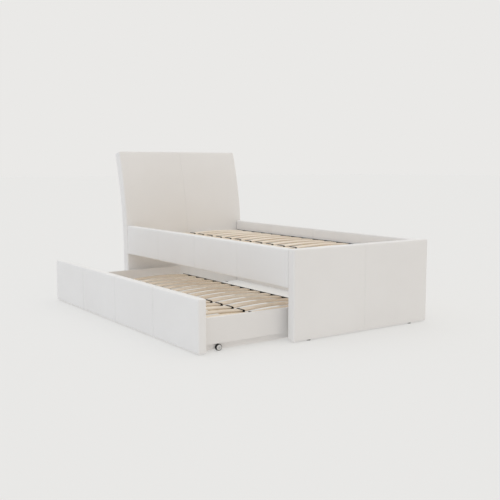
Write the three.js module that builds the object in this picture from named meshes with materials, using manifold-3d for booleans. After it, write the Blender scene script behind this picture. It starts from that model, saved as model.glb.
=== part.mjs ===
// Upholstered single bed with a pull-out trundle bed on castors.
// Millimetres, +Z up. Y runs from the footboard to the headboard, and the trundle rolls out towards -X.
// The origin is on the floor, under the middle of the whole object with its trundle part way out.
import * as THREE from 'three';
import { mergeVertices } from 'three/addons/utils/BufferGeometryUtils.js';
import { RoundedBoxGeometry } from 'three/addons/geometries/RoundedBoxGeometry.js';
import Module from 'manifold-3d';

// ---- driving dimensions -------------------------------------------------------------------
const BED_WIDTH = 1000;          // over the footboard and headboard
const INNER_LENGTH = 1901;       // between footboard and headboard, for a 1900 mattress
const BOARD = 48;                // thickness of the side rail, back panel and trundle front
const FOOTBOARD_THICKNESS = 52;
const RAIL_TOP = 490;
const RAIL_BOTTOM = 285;
const FOOTBOARD_TOP = 493;
const HEADBOARD_TOP = 1029;
const HEADBOARD_THICKNESS = 70;
const HEADBOARD_LEAN = 120;      // how far back the top of its front face is
const HEADBOARD_BEND_START = 295;
const FLOOR_GAP = 7;             // under the boards, filled by the glides
const GAP = 0.3;                 // between touching pieces
const WALL = 6;                  // foam and leather over each board
const EDGE_RADIUS = 10;
const HEADBOARD_CORNER = 13;      // radius along its top edges
const LEDGER_TOP = 405;          // what the bed's slat holders stand on

const TRUNDLE_OUT = 540;         // how far out the trundle stands at rest
const TRUNDLE_DEPTH = 945;
const PANEL_TOP = 280;
const PANEL_CLEARANCE = 3;       // to the headboard and the footboard
const END_RAIL_INSET = 42;       // from the panel's ends
const END_RAIL_TOP = 172;
const END_RAIL_BOTTOM = 38;
const END_RAIL_THICKNESS = 16;
const CASTOR_BOARD_TOP = 63;
const TRUNDLE_LEDGER_TOP = 108;

const BED_SLATS = { rows: 15, pitch: 122.4, middle: 1014 };
const TRUNDLE_SLATS = { rows: 15, pitch: 113.7, middle: 993 };
const SLAT_WIDTH = 60;
const SLAT_THICKNESS = 8;
const SLAT_RISE = 9;             // of the bow over its ends
const ROW_HALF_LENGTH = 447.5;
const HOLDER_LENGTH = 10;
const MIDDLE_HOLDER_HALF = 5;
const HOLDER_HEIGHT = 15;

const WHEEL_RADIUS = 17;
const WHEEL_WIDTH = 18;
const AXLE_RADIUS = 3;
const AXLE_HEAD_RADIUS = 5;
const AXLE_DEPTH = 12;           // of each axle in its castor board
const WHEEL_CLEARANCE = 1;       // between a wheel and its castor board
const CASTOR_FROM_PANEL = 144;   // from the panel's outer face to the front axles
const CASTOR_FROM_BACK = 90;

// ---- places that follow from them ---------------------------------------------------------
const HEAD_Y = FOOTBOARD_THICKNESS + INNER_LENGTH;
const MIDDLE_X = BED_WIDTH / 2;
const TRUNDLE_BACK = TRUNDLE_DEPTH - TRUNDLE_OUT;
const PANEL_INNER = BOARD - TRUNDLE_OUT;
const PANEL_FOOT = FOOTBOARD_THICKNESS + PANEL_CLEARANCE;
const PANEL_HEAD = HEAD_Y - PANEL_CLEARANCE;
const TRUNDLE_MIDDLE_X = (PANEL_INNER + TRUNDLE_BACK) / 2;
const FRAME_FOOT = PANEL_FOOT + END_RAIL_INSET;
const FRAME_HEAD = PANEL_HEAD - END_RAIL_INSET;
const FRONT_AXLE_X = CASTOR_FROM_PANEL - TRUNDLE_OUT;
const BACK_AXLE_X = TRUNDLE_BACK - CASTOR_FROM_BACK;

const LEATHER = { color: 0xdedbd7, roughness: 0.55, metalness: 0 };
const BOARD_CORE = { color: 0xb99b72, roughness: 0.85, metalness: 0 };
const WHITE_BOARD = { color: 0xdad6d1, roughness: 0.6, metalness: 0 };
const PINE = { color: 0xd8bd92, roughness: 0.7, metalness: 0 };
const BEECH = { color: 0xe2cdaf, roughness: 0.55, metalness: 0 };
const ZINC = { color: 0xb9bcc0, roughness: 0.35, metalness: 0.9 };
const STEEL_WHITE = { color: 0xd0d0ce, roughness: 0.45, metalness: 0.3 };
const BLACK_PLASTIC = { color: 0x17181a, roughness: 0.6, metalness: 0 };

const wasm = await Module();
wasm.setup();

const assembly = new THREE.Group();

// ---- solids and booleans ------------------------------------------------------------------
function toSolid(geometry) {
  const bare = geometry.clone();
  bare.deleteAttribute('normal');
  bare.deleteAttribute('uv');
  const merged = mergeVertices(bare, 1e-3);
  const vertProperties = new Float32Array(merged.attributes.position.array);
  const triVerts = new Uint32Array(merged.index.array);
  return new wasm.Manifold(new wasm.Mesh({ numProp: 3, vertProperties, triVerts }));
}

function toGeometry(solid) {
  const mesh = solid.getMesh();
  const geometry = new THREE.BufferGeometry();
  geometry.setAttribute('position', new THREE.BufferAttribute(new Float32Array(mesh.vertProperties), 3));
  geometry.setIndex(new THREE.BufferAttribute(new Uint32Array(mesh.triVerts), 1));
  return geometry;
}

function join(...geometries) {
  const solids = geometries.map(toSolid);
  return toGeometry(solids.reduce((sum, solid) => sum.add(solid)));
}

function cut(geometry, ...tools) {
  return toGeometry(tools.reduce((left, tool) => left.subtract(toSolid(tool)), toSolid(geometry)));
}

function add(name, geometry, finish) {
  const mesh = new THREE.Mesh(geometry, new THREE.MeshStandardMaterial(finish));
  mesh.name = name;
  assembly.add(mesh);
  return mesh;
}

// A box from its lowest corner to its highest one.
function block(low, high) {
  const size = high.map((value, axis) => value - low[axis]);
  const geometry = new THREE.BoxGeometry(...size);
  return geometry.translate(...high.map((value, axis) => (value + low[axis]) / 2));
}

function roundedBlock(low, high, radius) {
  const size = high.map((value, axis) => value - low[axis]);
  const geometry = new RoundedBoxGeometry(...size, 2, radius);
  return geometry.translate(...high.map((value, axis) => (value + low[axis]) / 2));
}

// Extrudes an outline drawn in Y and Z along X, with its end edges rounded by bevel.
function extrudeAlongX(points, from, to, bevel = 0) {
  const geometry = new THREE.ExtrudeGeometry(new THREE.Shape(points), {
    depth: to - from - 2 * bevel, steps: 1, bevelEnabled: bevel > 0,
    bevelThickness: bevel, bevelSize: bevel, bevelOffset: -bevel, bevelSegments: 3,
  });
  return geometry.rotateX(Math.PI / 2).rotateZ(Math.PI / 2).translate(from + bevel, 0, 0);
}

// Extrudes an outline drawn in X and Z along Y.
function extrudeAlongY(points, from, to) {
  const geometry = new THREE.ExtrudeGeometry(new THREE.Shape(points), {
    depth: to - from, steps: 1, bevelEnabled: false,
  });
  return geometry.rotateX(Math.PI / 2).translate(0, to, 0);
}

function cylinderAlongY(x, y, z, radius, length, sides) {
  const geometry = new THREE.CylinderGeometry(radius, radius, length, sides);
  return geometry.translate(x, y, z);
}

// ---- upholstered boards -------------------------------------------------------------------
// A straight board is a plain core inside a padded cover that is open at the bottom.
function upholsteredBoard(name, low, high) {
  const coreLow = [low[0] + WALL + GAP, low[1] + WALL + GAP, low[2]];
  const coreHigh = high.map((value) => value - WALL - GAP);
  add(`${name}_core`, block(coreLow, coreHigh), BOARD_CORE);

  const below = 3 * EDGE_RADIUS;
  const outer = roundedBlock([low[0], low[1], low[2] - below], high, EDGE_RADIUS);
  const trim = block([low[0] - 1, low[1] - 1, low[2] - below - 1], [high[0] + 1, high[1] + 1, low[2]]);
  const hollow = block([low[0] + WALL, low[1] + WALL, low[2] - below], high.map((value) => value - WALL));
  add(`${name}_cover`, cut(outer, trim, hollow), LEATHER);
}

// The headboard's outline from the side: upright below, then one long arc that leans back.
// Inset draws the same outline further in.
function headboardOutline(inset, bottom, cornerRadius) {
  const rise = HEADBOARD_TOP - HEADBOARD_BEND_START;
  const angle = 2 * Math.atan(HEADBOARD_LEAN / rise);
  const radius = rise / Math.sin(angle);
  const front = radius - inset;
  const back = radius - HEADBOARD_THICKNESS + inset;
  const end = angle - inset / radius;
  const turn = cornerRadius / radius;
  const at = (distance, around) => new THREE.Vector2(
    HEAD_Y + radius - distance * Math.cos(around), HEADBOARD_BEND_START + distance * Math.sin(around));

  const steps = 10;
  const cornerSteps = 4;
  const points = [new THREE.Vector2(HEAD_Y + HEADBOARD_THICKNESS - inset, bottom)];
  points.push(new THREE.Vector2(HEAD_Y + inset, bottom));
  for (let step = 0; step <= steps; step += 1) {
    points.push(at(front, (end - turn) * step / steps));
  }
  for (let step = 1; step <= cornerSteps; step += 1) {
    const phase = Math.PI / 2 * step / cornerSteps;
    points.push(at(front - cornerRadius * (1 - Math.cos(phase)), end - turn * (1 - Math.sin(phase))));
  }
  for (let step = 0; step < cornerSteps; step += 1) {
    const phase = Math.PI / 2 * step / cornerSteps;
    points.push(at(back + cornerRadius * (1 - Math.sin(phase)), end - turn * (1 - Math.cos(phase))));
  }
  for (let step = steps; step >= 0; step -= 1) {
    points.push(at(back, (end - turn) * step / steps));
  }
  return points.reverse();
}

function headboard() {
  const coreCorner = 4;
  const core = extrudeAlongX(headboardOutline(WALL + GAP, FLOOR_GAP, coreCorner),
    WALL + GAP, BED_WIDTH - WALL - GAP);
  add('headboard_core', core, BOARD_CORE);

  const below = FLOOR_GAP - 3 * EDGE_RADIUS;
  const outer = extrudeAlongX(headboardOutline(0, below, HEADBOARD_CORNER), 0, BED_WIDTH, EDGE_RADIUS);
  const trim = block([-1, HEAD_Y - 1, below - 1], [BED_WIDTH + 1, HEAD_Y + HEADBOARD_THICKNESS + 1, FLOOR_GAP]);
  const hollow = extrudeAlongX(headboardOutline(WALL, below - 1, coreCorner), WALL, BED_WIDTH - WALL);
  add('headboard_cover', cut(outer, trim, hollow), LEATHER);
}

function boards() {
  const railFoot = FOOTBOARD_THICKNESS + GAP;
  const railHead = HEAD_Y - GAP;
  headboard();
  upholsteredBoard('footboard', [0, 0, FLOOR_GAP], [BED_WIDTH, FOOTBOARD_THICKNESS, FOOTBOARD_TOP]);
  upholsteredBoard('side_rail', [0, railFoot, RAIL_BOTTOM], [BOARD, railHead, RAIL_TOP]);
  upholsteredBoard('back_panel', [BED_WIDTH - BOARD, railFoot, FLOOR_GAP], [BED_WIDTH, railHead, RAIL_TOP]);
  upholsteredBoard('trundle_panel', [-TRUNDLE_OUT, PANEL_FOOT, FLOOR_GAP], [PANEL_INNER, PANEL_HEAD, PANEL_TOP]);
}

// ---- the bed's own frame ------------------------------------------------------------------
function glides() {
  const radius = 12.5;
  const height = FLOOR_GAP - GAP;
  const inset = 120;
  const footMiddle = FOOTBOARD_THICKNESS / 2;
  const places = {
    glide_foot_left: [inset, footMiddle],
    glide_foot_right: [BED_WIDTH - inset, footMiddle],
    glide_head_left: [inset, HEAD_Y + HEADBOARD_THICKNESS / 2],
    glide_head_right: [BED_WIDTH - inset, HEAD_Y + HEADBOARD_THICKNESS / 2],
  };
  for (const [name, [x, y]] of Object.entries(places)) {
    const puck = new THREE.CylinderGeometry(radius, radius, height, 20).rotateX(Math.PI / 2);
    add(name, puck.translate(x, y, height / 2), BLACK_PLASTIC);
  }
}

function ledgers() {
  const thickness = 25;
  const height = 35;
  const endGap = 10;
  const front = BOARD + GAP;
  const back = BED_WIDTH - BOARD - GAP;
  const foot = FOOTBOARD_THICKNESS + endGap;
  const head = HEAD_Y - endGap;
  const bottom = LEDGER_TOP - height;
  add('slat_ledger_front', block([front, foot, bottom], [front + thickness, head, LEDGER_TOP]), PINE);
  add('slat_ledger_back', block([back - thickness, foot, bottom], [back, head, LEDGER_TOP]), PINE);
}

// The rail under the middle of the slats hangs in a steel shoe at each end.
function centreRail() {
  const halfWidth = 20;
  const depth = 50;
  const plate = 2;
  const shoeLength = 30;
  const bottom = LEDGER_TOP - depth;
  const rim = LEDGER_TOP - 8;
  const low = [MIDDLE_X - halfWidth, FOOTBOARD_THICKNESS + 2 * GAP + plate, bottom];
  const high = [MIDDLE_X + halfWidth, HEAD_Y - 2 * GAP - plate, LEDGER_TOP];
  add('centre_rail', block(low, high), PINE);

  const shoe = (name, wallY, inward) => {
    const nearEnd = wallY + inward * GAP;
    const farEnd = nearEnd + inward * shoeLength;
    const slotStart = nearEnd + inward * plate;
    const ends = [nearEnd, farEnd].sort((a, b) => a - b);
    const slot = [slotStart, farEnd + inward].sort((a, b) => a - b);
    const body = block([low[0] - GAP - plate, ends[0], bottom - GAP - plate],
      [high[0] + GAP + plate, ends[1], rim]);
    const room = block([low[0] - GAP, slot[0], bottom - GAP], [high[0] + GAP, slot[1], rim + 1]);
    add(name, cut(body, room), STEEL_WHITE);
  };
  shoe('centre_rail_shoe_foot', FOOTBOARD_THICKNESS, 1);
  shoe('centre_rail_shoe_head', HEAD_Y, -1);
}

// A steel angle, upright in a corner: its corner is at x, y and its legs run along X and Y.
function angleBracket(name, x, y, alongX, alongY, bottom, height) {
  const leg = 38;
  const plate = 2.5;
  const corner = [x + alongX * GAP, y + alongY * GAP];
  const span = (from, direction, length) => [from, from + direction * length].sort((a, b) => a - b);
  const [x0, x1] = span(corner[0], alongX, leg);
  const [y0, y1] = span(corner[1], alongY, leg);
  const [innerX0, innerX1] = span(corner[0] + alongX * plate, alongX, leg);
  const [innerY0, innerY1] = span(corner[1] + alongY * plate, alongY, leg);
  const solid = block([x0, y0, bottom], [x1, y1, bottom + height]);
  const room = block([innerX0, innerY0, bottom - 1], [innerX1, innerY1, bottom + height + 1]);
  add(name, cut(solid, room), ZINC);
}

function cornerBrackets() {
  const bottom = RAIL_BOTTOM + 12;
  const height = 68;
  const back = BED_WIDTH - BOARD;
  angleBracket('corner_bracket_foot_front', BOARD, FOOTBOARD_THICKNESS, 1, 1, bottom, height);
  angleBracket('corner_bracket_foot_back', back, FOOTBOARD_THICKNESS, -1, 1, bottom, height);
  angleBracket('corner_bracket_head_front', BOARD, HEAD_Y, 1, -1, bottom, height);
  angleBracket('corner_bracket_head_back', back, HEAD_Y, -1, -1, bottom, height);
}

// ---- slats --------------------------------------------------------------------------------
// The upper or lower edge of one bowed slat, from x0 to x1 at height z.
function bow(x0, x1, z) {
  const steps = 6;
  const half = Math.abs(x1 - x0) / 2;
  const radius = (half ** 2 + SLAT_RISE ** 2) / (2 * SLAT_RISE);
  const points = [];
  for (let step = 0; step <= steps; step += 1) {
    const x = x0 + (x1 - x0) * step / steps;
    const off = x - (x0 + x1) / 2;
    points.push(new THREE.Vector2(x, z + Math.sqrt(radius ** 2 - off ** 2) - radius + SLAT_RISE));
  }
  return points;
}

// One row from the side: two bowed slats, a holder at each outer end and a double one between them.
function rowOutline(middleX, seat) {
  const under = seat + (HOLDER_HEIGHT - SLAT_THICKNESS) / 2;
  const over = under + SLAT_THICKNESS;
  const top = seat + HOLDER_HEIGHT;
  const end = ROW_HALF_LENGTH;
  const inner = end - HOLDER_LENGTH;
  const half = MIDDLE_HOLDER_HALF;
  const corner = (x, z) => new THREE.Vector2(middleX + x, z);
  return [
    corner(-end, top), corner(-end, seat), corner(-inner, seat),
    ...bow(middleX - inner, middleX - half, under),
    corner(-half, seat), corner(half, seat),
    ...bow(middleX + half, middleX + inner, under),
    corner(inner, seat), corner(end, seat), corner(end, top), corner(inner, top),
    ...bow(middleX + inner, middleX + half, over),
    corner(half, top), corner(-half, top),
    ...bow(middleX - half, middleX - inner, over),
    corner(-inner, top),
  ];
}

// Rows go in pairs, with their holders on common strips; an odd last row stands alone.
function slatRows(prefix, middleX, seat, { rows, pitch, middle }) {
  const stripWidth = 12;
  const stripHeight = 3;
  const outline = rowOutline(middleX, seat);
  const rowY = (row) => middle + (row - (rows - 1) / 2) * pitch;
  const strips = [-ROW_HALF_LENGTH + 1, -stripWidth / 2, ROW_HALF_LENGTH - stripWidth - 1];
  for (let row = 0; row < rows; row += 2) {
    const bundle = [row, row + 1].filter((each) => each < rows);
    const pieces = bundle.map((each) => extrudeAlongY(outline,
      rowY(each) - SLAT_WIDTH / 2, rowY(each) + SLAT_WIDTH / 2));
    for (const left of bundle.length > 1 ? strips : []) {
      pieces.push(block([middleX + left, rowY(row), seat],
        [middleX + left + stripWidth, rowY(row + 1), seat + stripHeight]));
    }
    const label = bundle.map((each) => String(each + 1).padStart(2, '0')).join('_');
    add(`${prefix}_${label}`, join(...pieces), BEECH);
  }
}

// ---- the trundle's frame ------------------------------------------------------------------
// A board inside each end rail and below it, nearly down to the floor, that carries two castors.
function castorBoard(name, y, outward) {
  const front = PANEL_INNER + GAP;
  const board = block([front, y, FLOOR_GAP], [TRUNDLE_BACK, y + END_RAIL_THICKNESS, CASTOR_BOARD_TOP - GAP]);
  const outerFace = outward < 0 ? y : y + END_RAIL_THICKNESS;
  const holes = [FRONT_AXLE_X, BACK_AXLE_X].map((x) => cylinderAlongY(x, outerFace, WHEEL_RADIUS,
    AXLE_RADIUS + GAP, 2 * (AXLE_DEPTH + 1), 16));
  add(name, cut(board, ...holes), WHITE_BOARD);
}

function trundleFrame() {
  const front = PANEL_INNER + GAP;
  const inside = FRAME_FOOT + END_RAIL_THICKNESS + GAP;
  const insideHead = FRAME_HEAD - END_RAIL_THICKNESS - GAP;
  const ledgerWidth = 25;
  const ledgerHeight = 33;
  const barHalf = 16;
  const endRail = (name, foot) => add(name,
    block([front, foot, END_RAIL_BOTTOM], [TRUNDLE_BACK, foot + END_RAIL_THICKNESS, END_RAIL_TOP]), WHITE_BOARD);
  endRail('trundle_end_rail_foot', FRAME_FOOT);
  endRail('trundle_end_rail_head', FRAME_HEAD - END_RAIL_THICKNESS);
  castorBoard('trundle_castor_board_foot', inside, -1);
  castorBoard('trundle_castor_board_head', insideHead - END_RAIL_THICKNESS, 1);
  add('trundle_back_rail', block([TRUNDLE_BACK - ledgerWidth, inside, CASTOR_BOARD_TOP],
    [TRUNDLE_BACK, insideHead, TRUNDLE_LEDGER_TOP]), WHITE_BOARD);
  add('trundle_front_ledger', block([front, inside, TRUNDLE_LEDGER_TOP - ledgerHeight],
    [front + ledgerWidth, insideHead, TRUNDLE_LEDGER_TOP]), PINE);
  add('trundle_centre_bar', block([TRUNDLE_MIDDLE_X - barHalf, inside, CASTOR_BOARD_TOP],
    [TRUNDLE_MIDDLE_X + barHalf, insideHead, TRUNDLE_LEDGER_TOP]), PINE);

  const bracketBottom = 16;
  const bracketHeight = 36;
  angleBracket('trundle_bracket_foot', PANEL_INNER, inside + END_RAIL_THICKNESS, 1, 1,
    bracketBottom, bracketHeight);
  angleBracket('trundle_bracket_head', PANEL_INNER, insideHead - END_RAIL_THICKNESS, 1, -1,
    bracketBottom, bracketHeight);
}

// ---- castors ------------------------------------------------------------------------------
// Each wheel turns on a bolt in the castor board, right under the end rail. Outward is the side
// that the bolt's head is on.
function wheelGeometry(x, y) {
  const half = WHEEL_WIDTH / 2;
  const bore = AXLE_RADIUS + GAP;
  const hub = 7;
  const rim = WHEEL_RADIUS - 4;
  const web = half - 1;
  const shoulder = WHEEL_RADIUS - 1;
  const profile = [
    [bore, -half], [hub, -half], [hub, -web], [rim, -web], [rim, -half], [shoulder, -half],
    [WHEEL_RADIUS, -web], [WHEEL_RADIUS, web], [shoulder, half], [rim, half], [rim, web],
    [hub, web], [hub, half], [bore, half], [bore, -half],
  ].map(([radius, along]) => new THREE.Vector2(radius, along));
  return new THREE.LatheGeometry(profile, 24).translate(x, y, WHEEL_RADIUS);
}

function axleGeometry(x, y, outward) {
  const head = 1.2;
  const wheelFace = WHEEL_WIDTH / 2 + GAP;
  const tip = WHEEL_WIDTH / 2 + WHEEL_CLEARANCE + AXLE_DEPTH;
  const profile = [
    [0, -tip], [AXLE_RADIUS, -tip], [AXLE_RADIUS, wheelFace],
    [AXLE_HEAD_RADIUS, wheelFace], [AXLE_HEAD_RADIUS, wheelFace + head], [0, wheelFace + head],
  ].map(([radius, along]) => new THREE.Vector2(radius, along));
  const geometry = new THREE.LatheGeometry(profile, 16);
  if (outward < 0) geometry.rotateX(Math.PI);
  return geometry.translate(x, y, WHEEL_RADIUS);
}

function castors() {
  const fromFrame = END_RAIL_THICKNESS + GAP - WHEEL_CLEARANCE - WHEEL_WIDTH / 2;
  const places = {
    front_foot: [FRONT_AXLE_X, FRAME_FOOT + fromFrame, -1],
    front_head: [FRONT_AXLE_X, FRAME_HEAD - fromFrame, 1],
    back_foot: [BACK_AXLE_X, FRAME_FOOT + fromFrame, -1],
    back_head: [BACK_AXLE_X, FRAME_HEAD - fromFrame, 1],
  };
  for (const [place, [x, y, outward]] of Object.entries(places)) {
    add(`castor_wheel_${place}`, wheelGeometry(x, y), BLACK_PLASTIC);
    add(`castor_axle_${place}`, axleGeometry(x, y, outward), ZINC);
  }
}

boards();
glides();
ledgers();
centreRail();
cornerBrackets();
slatRows('slats', MIDDLE_X, LEDGER_TOP + GAP, BED_SLATS);
trundleFrame();
slatRows('trundle_slats', TRUNDLE_MIDDLE_X, TRUNDLE_LEDGER_TOP + GAP, TRUNDLE_SLATS);
castors();

// Stand the assembly over the origin, so that the middle of its outline on the floor is at zero.
const outline = new THREE.Box3().setFromObject(assembly, true);
const centre = outline.getCenter(new THREE.Vector3());
assembly.position.set(-centre.x, -centre.y, -outline.min.z);

const bed = new THREE.Group();
bed.add(assembly);
export default bed;
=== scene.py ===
"""A white faux-leather bed with a trundle bed on castors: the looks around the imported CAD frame.

Lengths are in metres in the CAD's own frame: +Z up, +Y from the footboard to the headboard, and the
trundle rolls out towards -X. MM turns a length in millimetres into metres.
"""

import math

import bmesh
import bpy
import numpy as np
from mathutils import Matrix, Vector, noise

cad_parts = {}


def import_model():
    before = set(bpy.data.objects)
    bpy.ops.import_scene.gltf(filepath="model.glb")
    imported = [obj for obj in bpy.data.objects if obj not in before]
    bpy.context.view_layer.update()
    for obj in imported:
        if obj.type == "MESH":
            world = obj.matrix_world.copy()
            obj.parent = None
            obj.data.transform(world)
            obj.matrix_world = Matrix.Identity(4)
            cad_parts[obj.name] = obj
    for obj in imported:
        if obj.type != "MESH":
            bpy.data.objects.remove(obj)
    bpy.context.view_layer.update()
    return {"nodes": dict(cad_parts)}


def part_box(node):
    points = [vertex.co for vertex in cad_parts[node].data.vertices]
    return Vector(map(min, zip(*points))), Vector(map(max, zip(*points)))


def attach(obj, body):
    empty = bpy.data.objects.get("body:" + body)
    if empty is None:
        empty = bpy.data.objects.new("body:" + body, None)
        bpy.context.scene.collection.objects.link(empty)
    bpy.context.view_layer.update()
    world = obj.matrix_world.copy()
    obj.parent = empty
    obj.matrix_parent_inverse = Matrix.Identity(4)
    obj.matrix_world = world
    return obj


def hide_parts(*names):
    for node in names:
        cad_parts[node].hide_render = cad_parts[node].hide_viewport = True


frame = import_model()

MM = 0.001


def limits(node):
    """A CAD node's lowest and highest corner as two arrays."""
    low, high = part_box(node)
    return np.array(low), np.array(high)


# ---- materials ----------------------------------------------------------------------------
def new_material(name, colour, roughness, **sockets):
    """A Principled material with its even values set on the shader's own sockets."""
    material = bpy.data.materials.new(name)
    material.use_nodes = True
    shader = material.node_tree.nodes["Principled BSDF"]
    shader.inputs["Base Color"].default_value = (*colour, 1)
    shader.inputs["Roughness"].default_value = roughness
    for socket, value in sockets.items():
        shader.inputs[socket.replace("_", " ")].default_value = value
    return material


class Nodes:
    """Short calls for the nodes that the materials share."""

    def __init__(self, material):
        self.tree = material.node_tree
        self.shader = self.tree.nodes["Principled BSDF"]
        self.place = self.tree.nodes.new("ShaderNodeTexCoord").outputs["Object"]

    def scaled(self, scale):
        mapping = self.tree.nodes.new("ShaderNodeMapping")
        mapping.inputs["Scale"].default_value = scale
        self.tree.links.new(self.place, mapping.inputs["Vector"])
        return mapping.outputs["Vector"]

    def noise(self, scale, detail=2.0, stretch=None, roughness=0.5):
        node = self.tree.nodes.new("ShaderNodeTexNoise")
        node.inputs["Scale"].default_value = scale
        node.inputs["Detail"].default_value = detail
        node.inputs["Roughness"].default_value = roughness
        where = self.scaled(stretch) if stretch else self.place
        self.tree.links.new(where, node.inputs["Vector"])
        return node.outputs["Fac"]

    def cells(self, scale, smoothness=0.3):
        node = self.tree.nodes.new("ShaderNodeTexVoronoi")
        node.feature = "SMOOTH_F1"
        node.inputs["Scale"].default_value = scale
        node.inputs["Smoothness"].default_value = smoothness
        self.tree.links.new(self.place, node.inputs["Vector"])
        return node.outputs["Distance"]

    def math(self, operation, first, second):
        node = self.tree.nodes.new("ShaderNodeMath")
        node.operation = operation
        for socket, value in zip(node.inputs, (first, second)):
            if isinstance(value, (int, float)):
                socket.default_value = value
            else:
                self.tree.links.new(value, socket)
        return node.outputs["Value"]

    def ramp(self, factor, *stops):
        """Stops are (place, colour) pairs."""
        node = self.tree.nodes.new("ShaderNodeValToRGB")
        elements = node.color_ramp.elements
        while len(elements) < len(stops):
            elements.new(0.5)
        for element, (place, colour) in zip(elements, stops):
            element.position = place
            element.color = (*colour, 1)
        self.tree.links.new(factor, node.inputs["Fac"])
        return node.outputs["Color"]

    def span(self, factor, low, high, out_low, out_high):
        node = self.tree.nodes.new("ShaderNodeMapRange")
        for socket, value in zip(node.inputs[1:5], (low, high, out_low, out_high)):
            socket.default_value = value
        self.tree.links.new(factor, node.inputs["Value"])
        return node.outputs["Result"]

    def colour(self, output):
        self.tree.links.new(output, self.shader.inputs["Base Color"])

    def roughness(self, output):
        self.tree.links.new(output, self.shader.inputs["Roughness"])

    def bump(self, height, strength, distance):
        node = self.tree.nodes.new("ShaderNodeBump")
        node.inputs["Strength"].default_value = strength
        node.inputs["Distance"].default_value = distance
        self.tree.links.new(height, node.inputs["Height"])
        self.tree.links.new(node.outputs["Normal"], self.shader.inputs["Normal"])


def leather_material():
    """White faux leather: a fine pebbled grain, a slight mottle and a satin face."""
    material = new_material("faux_leather", (0.86, 0.85, 0.84), 0.5, Specular_IOR_Level=0.3,
                            Sheen_Weight=0.05, Sheen_Roughness=0.4)
    nodes = Nodes(material)
    mottle = nodes.noise(3.2, 3)
    nodes.colour(nodes.ramp(mottle, (0.3, (0.852, 0.841, 0.829)), (0.7, (0.872, 0.863, 0.853))))
    grain = nodes.cells(620, 0.6)
    creases = nodes.noise(190, 4, roughness=0.6)
    height = nodes.math("ADD", nodes.math("MULTIPLY", grain, 0.8), nodes.math("MULTIPLY", creases, 0.5))
    nodes.roughness(nodes.span(nodes.noise(45, 3), 0.3, 0.7, 0.44, 0.56))
    nodes.bump(height, 0.35, 0.5 * MM)
    return material


def beech_material():
    """Bent beech laminate: pale, straight grain along the slat, each slat a little different."""
    material = new_material("beech", (0.74, 0.58, 0.40), 0.5, Specular_IOR_Level=0.35)
    nodes = Nodes(material)
    grain = nodes.noise(1, 6, stretch=(3.5, 150, 150), roughness=0.62)
    tone = nodes.noise(1, 0, stretch=(2.0, 11.0, 3.0))
    mix = nodes.math("ADD", nodes.math("MULTIPLY", grain, 0.55), nodes.math("MULTIPLY", tone, 0.5))
    nodes.colour(nodes.ramp(mix, (0.33, (0.70, 0.58, 0.45)), (0.50, (0.83, 0.72, 0.59)),
                            (0.68, (0.90, 0.82, 0.71))))
    flecks = nodes.noise(1, 2, stretch=(60, 420, 420))
    nodes.roughness(nodes.span(flecks, 0.3, 0.7, 0.42, 0.58))
    nodes.bump(grain, 0.12, 0.4 * MM)
    return material


def pine_material():
    """Planed softwood battens with soft growth rings along their length."""
    material = new_material("pine", (0.72, 0.56, 0.36), 0.6, Specular_IOR_Level=0.3)
    nodes = Nodes(material)
    rings = nodes.noise(1, 3, stretch=(46, 1.6, 46))
    pores = nodes.noise(1, 4, stretch=(260, 6, 260))
    mix = nodes.math("ADD", nodes.math("MULTIPLY", rings, 0.8), nodes.math("MULTIPLY", pores, 0.2))
    nodes.colour(nodes.ramp(mix, (0.38, (0.60, 0.43, 0.25)), (0.55, (0.77, 0.62, 0.42)),
                            (0.7, (0.82, 0.69, 0.50))))
    nodes.bump(pores, 0.15, 0.3 * MM)
    return material


def laminate_material():
    """White laminated board with a faint orange-peel face."""
    material = new_material("white_laminate", (0.84, 0.825, 0.81), 0.42, Specular_IOR_Level=0.45)
    nodes = Nodes(material)
    nodes.colour(nodes.ramp(nodes.noise(2.5, 2), (0.35, (0.83, 0.813, 0.797)), (0.65, (0.85, 0.835, 0.82))))
    nodes.roughness(nodes.span(nodes.noise(18, 2), 0.3, 0.7, 0.38, 0.48))
    nodes.bump(nodes.noise(900, 2), 0.08, 0.2 * MM)
    return material


def chipboard_material():
    """Raw chipboard inside the covers."""
    material = new_material("chipboard", (0.55, 0.42, 0.27), 0.85)
    nodes = Nodes(material)
    chips = nodes.cells(190, 0.2)
    nodes.colour(nodes.ramp(chips, (0.15, (0.44, 0.31, 0.18)), (0.6, (0.66, 0.52, 0.35))))
    nodes.bump(chips, 0.3, 0.5 * MM)
    return material


def plastic_material(name, dark, light, rough):
    """Moulded black plastic with a spark-eroded face."""
    material = new_material(name, light, rough, Specular_IOR_Level=0.25)
    nodes = Nodes(material)
    nodes.colour(nodes.ramp(nodes.noise(40, 3), (0.35, dark), (0.7, light)))
    nodes.roughness(nodes.span(nodes.noise(90, 2), 0.3, 0.7, rough - 0.06, rough + 0.06))
    nodes.bump(nodes.noise(1500, 2), 0.15, 0.15 * MM)
    return material


def metal_material(name, colour, rough):
    """Plated or brushed steel with fine drawn lines."""
    material = new_material(name, colour, rough, Metallic=1.0)
    nodes = Nodes(material)
    lines = nodes.noise(1, 3, stretch=(90, 90, 900))
    nodes.roughness(nodes.span(lines, 0.3, 0.7, rough - 0.07, rough + 0.09))
    nodes.colour(nodes.ramp(nodes.noise(60, 3), (0.3, tuple(0.86 * c for c in colour)), (0.7, colour)))
    nodes.bump(lines, 0.06, 0.1 * MM)
    return material


def powder_material():
    """White powder coat on pressed steel."""
    material = new_material("white_powder_coat", (0.74, 0.74, 0.73), 0.4)
    nodes = Nodes(material)
    nodes.roughness(nodes.span(nodes.noise(60, 2), 0.3, 0.7, 0.34, 0.46))
    nodes.bump(nodes.noise(700, 2), 0.12, 0.15 * MM)
    return material


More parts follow.
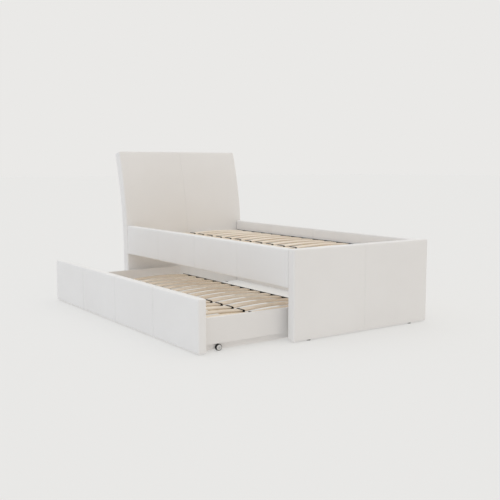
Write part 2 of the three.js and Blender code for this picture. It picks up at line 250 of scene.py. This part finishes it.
def thread_material():
    """White polyester thread with its twist."""
    material = new_material("thread", (0.85, 0.84, 0.825), 0.65)
    nodes = Nodes(material)
    twist = nodes.noise(1100, 2)
    nodes.colour(nodes.ramp(twist, (0.35, (0.79, 0.775, 0.76)), (0.65, (0.88, 0.87, 0.855))))
    nodes.bump(twist, 0.3, 0.2 * MM)
    return material


LEATHER = leather_material()
BEECH = beech_material()
PINE = pine_material()
LAMINATE = laminate_material()
CHIPBOARD = chipboard_material()
HOLDER_PLASTIC = plastic_material("black_plastic", (0.012, 0.011, 0.010), (0.022, 0.020, 0.018), 0.55)
TYRE_RUBBER = plastic_material("tyre_rubber", (0.014, 0.014, 0.015), (0.026, 0.026, 0.028), 0.55)
HUB_NYLON = plastic_material("hub_nylon", (0.80, 0.795, 0.78), (0.86, 0.855, 0.84), 0.38)
ZINC = metal_material("zinc", (0.66, 0.67, 0.69), 0.32)
POWDER = powder_material()
THREAD = thread_material()


# ---- meshes -------------------------------------------------------------------------------
def make_object(name, points, faces, material, smooth=True):
    mesh = bpy.data.meshes.new(name)
    mesh.from_pydata([tuple(point) for point in points], [], [tuple(face) for face in faces])
    mesh.validate()
    mesh.update()
    if smooth:
        mesh.shade_smooth()
    made = bpy.data.objects.new(name, mesh)
    bpy.context.scene.collection.objects.link(made)
    mesh.materials.append(material)
    return made


def finish_piece(piece, body, slot, *nodes):
    """Fixes a piece to its CAD body and hides the solids it stands for. The slot is not used."""
    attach(piece, body)
    if nodes:
        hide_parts(*nodes)
    return piece


class Bundle:
    """Several small closed shapes gathered into one piece."""

    def __init__(self):
        self.points = []
        self.faces = []

    def add(self, points, faces):
        start = len(self.points)
        self.points.extend(points)
        self.faces.extend([tuple(start + corner for corner in face) for face in faces])

    def add_rings(self, rings):
        """A closed tube from rings of points, with its first and last ring filled."""
        sides = len(rings[0])
        points = [point for ring in rings for point in ring]
        faces = [tuple(reversed(range(sides)))]
        for row in range(len(rings) - 1):
            for side in range(sides):
                after = (side + 1) % sides
                faces.append((row * sides + side, row * sides + after,
                              (row + 1) * sides + after, (row + 1) * sides + side))
        faces.append(tuple((len(rings) - 1) * sides + side for side in range(sides)))
        self.add(points, faces)

    def piece(self, name, material, smooth=True):
        made = make_object(name, self.points, self.faces, material, smooth)
        edit = bmesh.new()
        edit.from_mesh(made.data)
        bmesh.ops.recalc_face_normals(edit, faces=edit.faces)
        edit.to_mesh(made.data)
        edit.free()
        return made


def edge_turn(radius, steps):
    """Places across a rounded edge, from the box's face to where the flat starts."""
    return [radius * (1 - math.tan(math.radians(45 - 45 * step / steps))) for step in range(steps + 1)]


def box_skin(lines, place):
    """Points and faces over the six sides of a box. Lines holds the grid's places along each axis,
    and place turns a point of the plain box into a point of the skin."""
    last = [len(each) - 1 for each in lines]
    index, points, faces = {}, [], []

    def corner(key):
        if key not in index:
            index[key] = len(points)
            points.append(place(np.array([lines[axis][key[axis]] for axis in range(3)])))
        return index[key]

    for axis in range(3):
        first, second = [other for other in range(3) if other != axis]
        for side in (0, last[axis]):
            for i in range(last[first]):
                for j in range(last[second]):
                    loop = []
                    for di, dj in ((0, 0), (1, 0), (1, 1), (0, 1)):
                        key = [0, 0, 0]
                        key[axis], key[first], key[second] = side, i + di, j + dj
                        loop.append(corner(tuple(key)))
                    faces.append(loop)
    return points, faces


def soften(piece, width, segments=2, angle=35):
    """Rounds a piece's sharp edges and keeps its flat faces flat."""
    bevel = piece.modifiers.new("soft_edges", "BEVEL")
    bevel.width = width
    bevel.segments = segments
    bevel.limit_method = "ANGLE"
    bevel.angle_limit = math.radians(angle)
    bevel.harden_normals = False
    piece.modifiers.new("even_normals", "WEIGHTED_NORMAL")
    return piece


# ---- upholstered boards -------------------------------------------------------------------
EDGE = 9 * MM                  # radius that the foam rounds every edge to
EDGE_STEPS = 4
HEM = 1.6 * MM                 # the cover's fold below its core
GRID = 13 * MM
SEAM_GRID = (0, 0.7, 1.5, 2.6, 4.5, 7, 10, 14, 19)    # in mm, the finer grid to each side of a seam
SEAM_GRID_CLEAR = 22 * MM      # the even grid keeps this far from a seam
CROWN = 2.2 * MM               # how far the foam swells between its edges and seams
CROWN_WIDTH = 26 * MM
SUNK = 0.8 * MM                # the skin at the edges lies this far inside the CAD's face
SEAM_DEPTH = 0.8 * MM
SEAM_HALF_WIDTH = 1.5 * MM
SEAM_PULL = 0.6 * MM           # the wider dip that the seam pulls into the foam
SEAM_PULL_WIDTH = 13 * MM
SEAM_SHARE_AT_RIM = 0.35       # of a seam's depth that is left on the narrow edges
DRIFT = 0.5 * MM               # slow unevenness of the foam
DRIFT_SCALE = 7
FINE_DRIFT = 0.18 * MM
FINE_DRIFT_SCALE = 3.7         # times the slow one's
TUNNEL = 4.5 * MM              # from a seam to each line of top stitching
STITCH = 5.2 * MM
STITCH_PITCH = 7.0 * MM
STITCH_SHAPE = ((-0.5, -0.5, 0.5), (-0.38, 0.25, 0.9), (0, 0.45, 1.0), (0.38, 0.25, 0.9),
                (0.5, -0.5, 0.5))     # place along, height and thickness of the thread's sections
THREAD_RADIUS = 0.45 * MM
THREAD_RISE = 1.6              # thread radii that one unit of height stands for
THREAD_SIDES = 6
PATH_STEP = 2 * MM


def grid_lines(length, seams=()):
    """Places along one side of a board: fine at the rounded ends and at each seam."""
    turn = edge_turn(EDGE, EDGE_STEPS)
    lines = set(turn) | {length - place for place in turn}
    middle = length - 2 * EDGE
    count = max(1, round(middle / GRID))
    fine = {seam + sign * step * MM for seam in seams for step in SEAM_GRID for sign in (-1, 1)}
    for step in range(1, count):
        place = EDGE + middle * step / count
        if all(abs(place - seam) > SEAM_GRID_CLEAR for seam in seams):
            lines.add(place)
    return sorted(lines | fine)


class Board:
    """A padded board. Its own axes run along it, through it and up it, to_frame bends and places
    them, and its phase makes its unevenness its own."""

    def __init__(self, name, size, seams, to_frame, phase):
        self.name = name
        self.size = np.array(size)
        self.seams = seams
        self.to_frame = to_frame
        self.phase = phase

    def swell(self, raw, normal):
        """How far the skin stands out of the rounded box at a point."""
        along, through, up = raw
        length, _, height = self.size
        ends = min(along, length - along)
        rims = min(up, height - up)
        crown = (1 - math.exp(-max(ends, 0) / CROWN_WIDTH)) * (1 - math.exp(-max(rims, 0) / CROWN_WIDTH))
        pulled = 0.0
        for seam in self.seams:
            off = abs(along - seam)
            pulled += SEAM_PULL * math.exp(-(off / SEAM_PULL_WIDTH) ** 2)
            pulled += SEAM_DEPTH * math.exp(-(off / SEAM_HALF_WIDTH) ** 2)
        face = normal[1] ** 2
        where = Vector((along * DRIFT_SCALE + self.phase, through * DRIFT_SCALE, up * DRIFT_SCALE))
        drift = noise.noise(where) * DRIFT + noise.noise(where * FINE_DRIFT_SCALE) * FINE_DRIFT
        seam_share = SEAM_SHARE_AT_RIM + (1 - SEAM_SHARE_AT_RIM) * face
        return face * (CROWN * crown + drift) - SUNK - pulled * seam_share

    def skin(self, raw):
        """The point on the finished skin for a point on the plain box."""
        inner = np.clip(raw, EDGE, self.size - EDGE)
        normal = raw - inner
        normal = normal / np.linalg.norm(normal)
        point = inner + normal * (EDGE + self.swell(raw, normal))
        return self.to_frame(point)

    def cover(self):
        length, thickness, height = self.size
        lines = (grid_lines(length, self.seams), grid_lines(thickness), grid_lines(height))
        bundle = Bundle()
        bundle.add(*box_skin(lines, self.skin))
        return bundle.piece(f"{self.name}_padded_cover", LEATHER)

    def round_path(self, along):
        """Points up the outer face, over the top and down the other face."""
        _, thickness, height = self.size
        path = [np.array([along, 0, up]) for up in np.arange(EDGE, height, PATH_STEP)]
        path += [np.array([along, through, height]) for through in np.arange(0, thickness, PATH_STEP)]
        path += [np.array([along, thickness, up]) for up in np.arange(height, EDGE, -PATH_STEP)]
        return [np.array(self.skin(raw)) for raw in path]

    def stitching(self):
        """A row of top stitches on each side of each seam."""
        bundle = Bundle()
        for seam in self.seams:
            for offset in (-TUNNEL, TUNNEL):
                path = np.array(self.round_path(seam + offset))
                beside = np.array(self.round_path(seam + offset + 1 * MM))
                sew(bundle, path, beside)
        return bundle.piece(f"{self.name}_stitching", THREAD)


def sew(bundle, path, beside):
    """Stitches along a path. Beside is the same path a little to one side, which gives the surface."""
    steps = np.linalg.norm(np.diff(path, axis=0), axis=1)
    run = np.concatenate([[0], np.cumsum(steps)])
    across = np.cross(path[1] - path[0], beside[0] - path[0])
    sign = math.copysign(1, across.dot(path[0] - path[-1]))   # the path ends behind its start

    def at(distance, line):
        return np.array([np.interp(distance, run, line[:, axis]) for axis in range(3)])

    for stitch in range(int(run[-1] / STITCH_PITCH)):
        middle = (stitch + 0.5) * STITCH_PITCH
        forward = at(middle + 1 * MM, path) - at(middle - 1 * MM, path)
        forward /= np.linalg.norm(forward)
        sideways = at(middle, beside) - at(middle, path)
        sideways -= forward * sideways.dot(forward)
        sideways /= np.linalg.norm(sideways)
        outward = np.cross(forward, sideways) * sign
        rings = []
        for place, height, thick in STITCH_SHAPE:
            centre = at(middle + place * STITCH, path) + outward * height * THREAD_RADIUS * THREAD_RISE
            ring = []
            for side in range(THREAD_SIDES):
                turn = 2 * math.pi * side / THREAD_SIDES
                ring.append(centre + (sideways * math.cos(turn) + outward * math.sin(turn))
                            * THREAD_RADIUS * thick)
            rings.append(ring)
        bundle.add_rings(rings)


def straight_board(name, along_axis, outer_sign, seam_shares, phase):
    """The cover over one straight core: along_axis is 0 for X or 1 for Y."""
    low, high = limits(f"{name}_cover")
    through_axis = 1 - along_axis
    bottom = low[2] - HEM
    size = [high[along_axis] - low[along_axis], high[through_axis] - low[through_axis], high[2] - bottom]

    def to_frame(point):
        placed = np.array([0.0, 0.0, bottom + point[2]])
        placed[along_axis] = low[along_axis] + point[0]
        if outer_sign < 0:
            placed[through_axis] = low[through_axis] + point[1]
        else:
            placed[through_axis] = high[through_axis] - point[1]
        return placed

    return Board(name, size, [share * size[0] for share in seam_shares], to_frame, phase)


BEND_START = 295 * MM          # where the headboard starts to lean back
LEAN = 120 * MM
HEADBOARD_TOP = 1029 * MM      # of its front face
HEADBOARD_THICKNESS = 70 * MM


def headboard_board():
    """The headboard's cover: a flat padded board bent to the CAD's curve."""
    low, high = limits("headboard_cover")
    rise = HEADBOARD_TOP - BEND_START
    angle = 2 * math.atan(LEAN / rise)
    radius = rise / math.sin(angle)
    bottom = low[2] - HEM
    upright = BEND_START - bottom

    def to_frame(point):
        along, through, up = point
        if up <= upright:
            return np.array([low[0] + along, low[1] + through, bottom + up])
        around = (up - upright) / radius
        reach = radius - through
        return np.array([low[0] + along, low[1] + radius - reach * math.cos(around),
                         BEND_START + reach * math.sin(around)])

    size = [high[0] - low[0], HEADBOARD_THICKNESS, upright + angle * radius]
    return Board("headboard", size, [0.5 * size[0]], to_frame, 4.0)


def upholster(board, body):
    """A board's padded cover in place of its CAD solid, and the stitching on it."""
    cover = board.cover()
    finish_piece(cover, body, "leather", f"{board.name}_cover")
    seams = board.stitching()
    finish_piece(seams, body, "leather")


QUARTERS = (0.25, 0.5, 0.75)
FOOTBOARD = straight_board("footboard", 0, -1, (0.5,), 0.0)
SIDE_RAIL = straight_board("side_rail", 1, -1, QUARTERS, 11.0)
BACK_PANEL = straight_board("back_panel", 1, 1, QUARTERS, 23.0)
TRUNDLE_PANEL = straight_board("trundle_panel", 1, -1, QUARTERS, 37.0)
HEADBOARD = headboard_board()

for bed_board in (FOOTBOARD, SIDE_RAIL, BACK_PANEL, HEADBOARD):
    upholster(bed_board, "bed")
upholster(TRUNDLE_PANEL, "trundle")


# ---- small shapes -------------------------------------------------------------------------
def rounded_block(bundle, low, high, radius, steps=3):
    """A box with every edge rounded."""
    low, high = np.array(low), np.array(high)
    size = high - low
    turn = edge_turn(radius, steps)
    lines = [sorted(set(turn) | {length - place for place in turn}) for length in size]

    def rounded(raw):
        inner = np.clip(raw, radius, size - radius)
        normal = (raw - inner) / np.linalg.norm(raw - inner)
        return low + inner + normal * radius

    bundle.add(*box_skin(lines, rounded))


def turned(bundle, profile, centre, axis, sides=32):
    """A closed shape turned about a line: the profile holds (radius, distance along the line) pairs."""
    axis = Vector(axis).normalized()
    across = axis.orthogonal().normalized()
    beside = axis.cross(across)
    rings = []
    for radius, along in profile:
        ring = []
        for side in range(sides):
            around = 2 * math.pi * side / sides
            spoke = across * math.cos(around) + beside * math.sin(around)
            ring.append(np.array(Vector(centre) + axis * along + spoke * radius))
        rings.append(ring)
    bundle.add_rings(rings)


BOLT_SIDES = 24


def bolt_head(bundle, centre, axis, radius=5 * MM):
    """A low domed head with a socket in it, standing on a face."""
    height = 0.55 * radius
    dome = [(radius, 0), (radius, 0.25 * height), (0.93 * radius, 0.55 * height),
            (0.75 * radius, 0.85 * height), (0.52 * radius, height)]
    socket = [(0.42 * radius, height), (0.36 * radius, 0.9 * height), (0.34 * radius, 0.35 * height),
              (0.1 * radius, 0.3 * height)]
    turned(bundle, dome + socket, centre, axis, BOLT_SIDES)


# ---- slats --------------------------------------------------------------------------------
SLAT_ROWS = 15
SLAT_PITCH = {"bed": 122.4 * MM, "trundle": 113.7 * MM}
SLAT_WIDTH = 60 * MM
SLAT_THICKNESS = 8 * MM
SLAT_EDGE = 2.8 * MM           # radius along its edges
SLAT_EDGE_STEPS = 4
SLAT_RISE = 9 * MM             # of the bow over its ends
SLAT_SECTIONS = 23             # along the bow
HOLDER_LENGTH = 9 * MM
MIDDLE_HOLDER_HALF = 5 * MM
HOLDER_HEIGHT = 15 * MM
OUTER_HOLDER_HEIGHT = 12.8 * MM
HOLDER_WALL = 2.6 * MM
HOLDER_EDGE = 2.4 * MM         # radius along its edges
CHEEK_LENGTH = 2.5 * MM        # of the holder's cheeks past its cap, beside the slat
CHEEK_SHARE = 0.86             # of the holder's height
CHEEK_GAP = 0.3 * MM           # between a slat's edge and the cheek
TUCKED_IN = 4 * MM             # of each slat end inside its holder
STRIP_WIDTH = 3 * MM           # the lip that ties the outer holders together
STRIP_HEIGHT = 13 * MM
STRIP_GAP = 0.4 * MM           # between one row's strip and the next
SMALL_EDGE = 1 * MM            # radius along the cheeks and strips


def slat_section():
    """The outline across a slat, as (across, up) pairs around its middle."""
    half_width = SLAT_WIDTH / 2 - SLAT_EDGE
    half_height = SLAT_THICKNESS / 2 - SLAT_EDGE
    outline = []
    for quarter, (side, level) in enumerate(((1, 1), (-1, 1), (-1, -1), (1, -1))):
        for step in range(SLAT_EDGE_STEPS + 1):
            turn = math.pi / 2 * (quarter + step / SLAT_EDGE_STEPS)
            outline.append((side * half_width + SLAT_EDGE * math.cos(turn),
                            level * half_height + SLAT_EDGE * math.sin(turn)))
    return outline


def bowed_slat(bundle, x0, x1, y, under):
    """One bent slat from holder to holder, with a flat stretch in each."""
    half = (x1 - x0) / 2
    middle = (x0 + x1) / 2
    radius = (half ** 2 + SLAT_RISE ** 2) / (2 * SLAT_RISE)
    places = [x0 - TUCKED_IN] + list(np.linspace(x0, x1, SLAT_SECTIONS)) + [x1 + TUCKED_IN]
    rings = []
    for x in places:
        off = min(max(x - middle, -half), half)
        lift = math.sqrt(radius ** 2 - off ** 2) - radius + SLAT_RISE
        lean = math.asin(off / radius)
        centre = under + SLAT_THICKNESS / 2 + lift
        rings.append([np.array([x + up * math.sin(lean), y + across, centre + up * math.cos(lean)])
                      for across, up in slat_section()])
    bundle.add_rings(rings)


def slat_holder(bundle, x0, x1, y, seat, height, cheek_sides):
    """A moulded cap from x0 to x1, with a cheek beside each edge of the slats that it takes."""
    half = SLAT_WIDTH / 2
    rounded_block(bundle, [x0, y - half - HOLDER_WALL, seat],
                  [x1, y + half + HOLDER_WALL, seat + height], HOLDER_EDGE)
    low_x = x0 - (CHEEK_LENGTH if -1 in cheek_sides else 0)
    high_x = x1 + (CHEEK_LENGTH if 1 in cheek_sides else 0)
    for side in (-1, 1):
        inner = y + side * (half + CHEEK_GAP)
        outer = y + side * (half + HOLDER_WALL)
        rounded_block(bundle, [low_x, min(inner, outer), seat],
                      [high_x, max(inner, outer), seat + CHEEK_SHARE * height], SMALL_EDGE, 2)


def slat_rows(node, body):
    """One or two rows of two slats and their holders, in place of one CAD node."""
    low, high = limits(node)
    middle = (low[0] + high[0]) / 2
    row_half = (high[0] - low[0]) / 2
    seat = low[2]
    under = seat + (HOLDER_HEIGHT - SLAT_THICKNESS) / 2
    wood, plastic = Bundle(), Bundle()
    rows = sorted({round(low[1] + SLAT_WIDTH / 2, 5), round(high[1] - SLAT_WIDTH / 2, 5)})
    for y in rows:
        inner, outer = MIDDLE_HOLDER_HALF, row_half - HOLDER_LENGTH
        bowed_slat(wood, middle + inner, middle + outer, y, under)
        bowed_slat(wood, middle - outer, middle - inner, y, under)
        slat_holder(plastic, middle - inner, middle + inner, y, seat, HOLDER_HEIGHT, (-1, 1))
        slat_holder(plastic, middle + outer, middle + row_half, y, seat, OUTER_HOLDER_HEIGHT, (-1,))
        slat_holder(plastic, middle - row_half, middle - outer, y, seat, OUTER_HOLDER_HEIGHT, (1,))
    past_row = (SLAT_PITCH[body] - STRIP_GAP) / 2
    for left, right in ((-row_half, -row_half + STRIP_WIDTH), (row_half - STRIP_WIDTH, row_half)):
        rounded_block(plastic, [middle + left, rows[0] - past_row, seat],
                      [middle + right, rows[-1] + past_row, seat + STRIP_HEIGHT], SMALL_EDGE, 2)
    slats = wood.piece(f"{node}_wood", BEECH)
    slats.modifiers.new("even_normals", "WEIGHTED_NORMAL")
    holders = plastic.piece(f"{node}_holders", HOLDER_PLASTIC)
    holders.modifiers.new("even_normals", "WEIGHTED_NORMAL")
    finish_piece(slats, body, "beech", node)
    finish_piece(holders, body, "black_plastic", node)


for slat_body, slat_prefix in (("bed", "slats"), ("trundle", "trundle_slats")):
    for row in range(1, SLAT_ROWS + 1, 2):
        pair = [f"{number:02d}" for number in (row, row + 1) if number <= SLAT_ROWS]
        slat_rows("_".join([slat_prefix] + pair), slat_body)


# ---- castor wheels ------------------------------------------------------------------------
CASTOR_PLACES = ("front_foot", "front_head", "back_foot", "back_head")
TYRE_THICKNESS = 3 * MM
RIM_THICKNESS = 2.2 * MM
BOSS_RADIUS = 6 * MM
BORE_RADIUS = 3.3 * MM
WEB_INSET = 4 * MM             # of the hub's web below the wheel's side
HUB_INSET = 0.4 * MM           # of the boss's end, and of the rim below that
RIBS = 6
RIB_HALF = 0.7 * MM
RIB_EDGE = 0.35 * MM


def lathe(bundle, profile, centre, sides=64):
    """A closed ring turned about Y: the profile is a closed loop of (radius, along) pairs."""
    points, faces = [], []
    for reach, along in profile:
        for side in range(sides):
            around = 2 * math.pi * side / sides
            points.append(centre + np.array([reach * math.cos(around), along, reach * math.sin(around)]))
    count = len(profile)
    for row in range(count):
        after_row = (row + 1) % count
        for side in range(sides):
            after = (side + 1) % sides
            faces.append((row * sides + side, row * sides + after,
                          after_row * sides + after, after_row * sides + side))
    bundle.add(points, faces)


def castor_wheel(place):
    """A light nylon hub with six ribs, and a crowned rubber tyre on it."""
    node = f"castor_wheel_{place}"
    low, high = limits(node)
    centre = (low + high) / 2
    half = (high[1] - low[1]) / 2
    radius = (high[2] - low[2]) / 2
    seat = radius - TYRE_THICKNESS
    shoulder = [(radius - 1.8 * MM, half), (radius - 0.8 * MM, half - 0.6 * MM),
                (radius - 0.2 * MM, half - 2 * MM)]
    tread = [(reach, -along) for reach, along in shoulder] + [(radius, 0)] + shoulder[::-1]
    tyre = Bundle()
    lathe(tyre, [(seat, -half + 0.5 * MM)] + tread + [(seat, half - 0.5 * MM)], centre)
    rubber = tyre.piece(f"wheel_{place}_tyre", TYRE_RUBBER)
    soften(rubber, 0.4 * MM, 2, 40)
    finish_piece(rubber, f"wheel_{place}", "castor_tyre", node)

    rim, web, face = seat - RIM_THICKNESS, half - WEB_INSET, half - HUB_INSET
    outer_half = [(seat, face - HUB_INSET), (rim, face - HUB_INSET), (rim, web), (BOSS_RADIUS, web),
                  (BOSS_RADIUS, face), (BORE_RADIUS, face)]
    hub = Bundle()
    lathe(hub, [(reach, -along) for reach, along in outer_half[::-1]] + outer_half, centre)
    for rib in range(RIBS):
        spoke = Bundle()
        rounded_block(spoke, [BOSS_RADIUS - 1 * MM, -face + 1 * MM, -RIB_HALF],
                      [rim + 0.5 * MM, face - 1 * MM, RIB_HALF], RIB_EDGE, 2)
        spin = Matrix.Rotation(2 * math.pi * rib / RIBS, 3, "Y")
        hub.add([np.array(spin @ Vector(point)) + centre for point in spoke.points], spoke.faces)
    nylon = hub.piece(f"wheel_{place}_hub", HUB_NYLON)
    soften(nylon, 0.3 * MM, 2, 40)
    finish_piece(nylon, f"wheel_{place}", "white_steel", node)


for castor_place in CASTOR_PLACES:
    castor_wheel(castor_place)


# ---- screws and bolts ---------------------------------------------------------------------
ENDS = ("foot", "head")
SIDES = ("front", "back")
BRACKET_PLATE = 2.5 * MM
BRACKET_BOLT_REACH = 22 * MM   # of a bolt from the bracket's corner
LEDGER_SCREWS = 7
LEDGER_SCREW_RADIUS = 4 * MM
SHOE_SCREW_RADIUS = 3.5 * MM
SHOE_SCREW_SHARES = (0.3, 0.72)       # of a shoe's length
BOLT_EDGE = 0.25 * MM


def bracket_bolts(bundle, node, levels):
    """Bolt heads on the two legs of an angle bracket, at shares of its height."""
    low, high = limits(node)
    corner_x = low[0] if "front" in node or "trundle" in node else high[0]
    corner_y = low[1] if "foot" in node else high[1]
    into_x = 1 if corner_x == low[0] else -1
    into_y = 1 if corner_y == low[1] else -1
    plate, reach = BRACKET_PLATE, BRACKET_BOLT_REACH
    for level in levels:
        z = low[2] + level * (high[2] - low[2])
        bolt_head(bundle, (corner_x + into_x * plate, corner_y + into_y * reach, z), (into_x, 0, 0))
        bolt_head(bundle, (corner_x + into_x * reach, corner_y + into_y * plate, z), (0, into_y, 0))


def ledger_screws(bundle, node, face):
    """Screw heads along a batten, on its face towards +X or -X."""
    low, high = limits(node)
    x = high[0] if face > 0 else low[0]
    for step in range(LEDGER_SCREWS):
        y = low[1] + (high[1] - low[1]) * (step + 0.5) / LEDGER_SCREWS
        bolt_head(bundle, (x, y, (low[2] + high[2]) / 2), (face, 0, 0), LEDGER_SCREW_RADIUS)


def bed_fasteners():
    """The bolts and screws that stand still with the bed."""
    bundle = Bundle()
    for end in ENDS:
        for side in SIDES:
            bracket_bolts(bundle, f"corner_bracket_{end}_{side}", (0.25, 0.75))
        low, high = limits(f"centre_rail_shoe_{end}")
        for x, out in ((low[0], -1), (high[0], 1)):
            for share in SHOE_SCREW_SHARES:
                y = low[1] + share * (high[1] - low[1])
                bolt_head(bundle, (x, y, (low[2] + high[2]) / 2), (out, 0, 0), SHOE_SCREW_RADIUS)
    ledger_screws(bundle, "slat_ledger_front", 1)
    ledger_screws(bundle, "slat_ledger_back", -1)
    bolts = bundle.piece("bed_bolts", ZINC)
    soften(bolts, BOLT_EDGE, 1, 40)
    finish_piece(bolts, "bed", "zinc")


def trundle_fasteners():
    """The bolts and screws that travel with the trundle."""
    bundle = Bundle()
    for end in ENDS:
        bracket_bolts(bundle, f"trundle_bracket_{end}", (0.5,))
    ledger_screws(bundle, "trundle_front_ledger", 1)
    bolts = bundle.piece("trundle_bolts", ZINC)
    soften(bolts, BOLT_EDGE, 1, 40)
    finish_piece(bolts, "trundle", "zinc")


bed_fasteners()
trundle_fasteners()


# ---- CAD pieces that stay -----------------------------------------------------------------
BOARDS = ("headboard", "footboard", "side_rail", "back_panel", "trundle_panel")
WELD_DISTANCE = 0.01 * MM


def dress(material, edge, *names):
    """Gives CAD nodes their material and small rounded edges."""
    for name in names:
        node = frame["nodes"][name]
        node.data.materials.clear()
        node.data.materials.append(material)
        weld = node.modifiers.new("one_skin", "WELD")
        weld.merge_threshold = WELD_DISTANCE
        soften(node, edge)


dress(CHIPBOARD, 1 * MM, *[f"{name}_core" for name in BOARDS])
dress(PINE, 1.6 * MM, "slat_ledger_front", "slat_ledger_back", "centre_rail", "trundle_front_ledger",
      "trundle_centre_bar")
dress(LAMINATE, 1.2 * MM, "trundle_back_rail",
      *[f"trundle_{board}_{end}" for board in ("end_rail", "castor_board") for end in ENDS])
dress(POWDER, 0.5 * MM, *[f"centre_rail_shoe_{end}" for end in ENDS])
dress(ZINC, 0.6 * MM, *[f"corner_bracket_{end}_{side}" for end in ENDS for side in SIDES],
      *[f"trundle_bracket_{end}" for end in ENDS])
dress(ZINC, 0.4 * MM, *[f"castor_axle_{place}" for place in CASTOR_PLACES])
dress(HOLDER_PLASTIC, 1.2 * MM, *[f"glide_{end}_{side}" for end in ENDS for side in ("left", "right")])


# ---- floor, light and camera --------------------------------------------------------------
FLOOR_SIZE = 120
FLOOR_ALBEDO = (0.45, 0.45, 0.45)
FLOOR_GLOW = (0.385, 0.382, 0.372)
# A pool of light is painted on the floor under the bed: there the floor's glow is stronger.
PAINTED_LIGHT_POOL = ((0.10, 0.76), (-1.02, 0.89))     # from and to in X and in Y, the floor under the bed
PAINTED_LIGHT_POOL_FADE = 0.12
PAINTED_LIGHT_POOL_GLOW = 1.2           # times the open floor's glow
STUDIO = (0.823, 0.815, 0.800)
WARM_FRONT = (0.685, 0.605, 0.51)
COOL_SIDE = (0.725, 0.75, 0.795)
CEILING = (1.11, 1.11, 1.10)
EYE_FROM_CORNER = (-2.3759, -3.0209)  # from the corner of the side rail's and the footboard's faces
EYE_HEIGHT = 0.9181
EYE_DOWN = 6.354               # degrees below level
EYE_TURN = -34.819             # degrees about the upright, from looking along +Y
LENS = 54.228
SENSOR_WIDTH = 36
CLIP_END = 300


def floor():
    """A pale floor that glows as well, so that it hardly takes a shadow, with a painted pool of light: it
    glows a little more under the bed.
    """
    steps = 2
    points = [(FLOOR_SIZE * (i / steps - 0.5), FLOOR_SIZE * (j / steps - 0.5), 0)
              for i in range(steps + 1) for j in range(steps + 1)]
    faces = []
    for i in range(steps):
        for j in range(steps):
            near, far = i * (steps + 1) + j, (i + 1) * (steps + 1) + j
            faces.append((near, far, far + 1, near + 1))
    material = new_material("pale_floor", FLOOR_ALBEDO, 0.9, Specular_IOR_Level=0.0,
                            Emission_Color=(*FLOOR_GLOW, 1), Emission_Strength=1.0)
    nodes = Nodes(material)
    split = nodes.tree.nodes.new("ShaderNodeSeparateXYZ")
    nodes.tree.links.new(nodes.place, split.inputs["Vector"])
    share = None
    # the mask of the painted pool of light under the bed, faded in at its edges
    for axis, (near, far) in zip("XY", PAINTED_LIGHT_POOL):
        for edge, inwards in ((near, 1), (far, -1)):
            ramp = nodes.span(split.outputs[axis], edge, edge + inwards * PAINTED_LIGHT_POOL_FADE, 0.0, 1.0)
            share = nodes.math("MULTIPLY", share, ramp) if share else ramp
    # painted light: inside the pool the floor glows brighter
    strength = nodes.span(share, 0.0, 1.0, 1.0, PAINTED_LIGHT_POOL_GLOW)
    nodes.tree.links.new(strength, nodes.shader.inputs["Emission Strength"])
    make_object("floor", points, faces, material, smooth=False)


def world(base, *sides):
    """An even studio. Each side is (direction, from, to, colour): the studio's colour turns to it
    between two shares of the way towards that direction."""
    made = bpy.data.worlds.new("studio")
    made.use_nodes = True
    tree = made.node_tree
    direction = tree.nodes.new("ShaderNodeTexCoord").outputs["Generated"]
    colour = None
    for towards, start, full, tint in sides:
        share = tree.nodes.new("ShaderNodeVectorMath")
        share.operation = "DOT_PRODUCT"
        share.inputs[1].default_value = Vector(towards).normalized()
        tree.links.new(direction, share.inputs[0])
        smooth = tree.nodes.new("ShaderNodeMapRange")
        smooth.interpolation_type = "SMOOTHSTEP"
        smooth.inputs["From Min"].default_value = start
        smooth.inputs["From Max"].default_value = full
        tree.links.new(share.outputs["Value"], smooth.inputs["Value"])
        mix = tree.nodes.new("ShaderNodeMix")
        mix.data_type = "RGBA"
        tree.links.new(smooth.outputs["Result"], mix.inputs["Factor"])
        mix.inputs[6].default_value = (*base, 1)
        if colour:
            tree.links.new(colour, mix.inputs[6])
        mix.inputs[7].default_value = (*tint, 1)
        colour = mix.outputs[2]
    tree.links.new(colour, tree.nodes["Background"].inputs["Color"])
    bpy.context.scene.world = made


def camera():
    """Nearly four metres from the footboard's corner and 0.9 m up, on the trundle's side."""
    data = bpy.data.cameras.new("camera")
    data.lens = LENS
    data.sensor_width = SENSOR_WIDTH
    data.clip_end = CLIP_END
    eye = bpy.data.objects.new("camera", data)
    corner = (limits("side_rail_cover")[0][0], limits("footboard_cover")[0][1])
    eye.location = (corner[0] + EYE_FROM_CORNER[0], corner[1] + EYE_FROM_CORNER[1], EYE_HEIGHT)
    eye.rotation_euler = (math.radians(90 - EYE_DOWN), 0, math.radians(EYE_TURN))
    bpy.context.scene.collection.objects.link(eye)
    bpy.context.scene.camera = eye


floor()
world(STUDIO, ((0, -1, 0), 0.0, 0.5, WARM_FRONT), ((-1, 0, 0), 0.0, 0.5, COOL_SIDE),
      ((0, 0, 1), 0.35, 0.95, CEILING))
camera()
bpy.context.scene.view_settings.view_transform = "Standard"
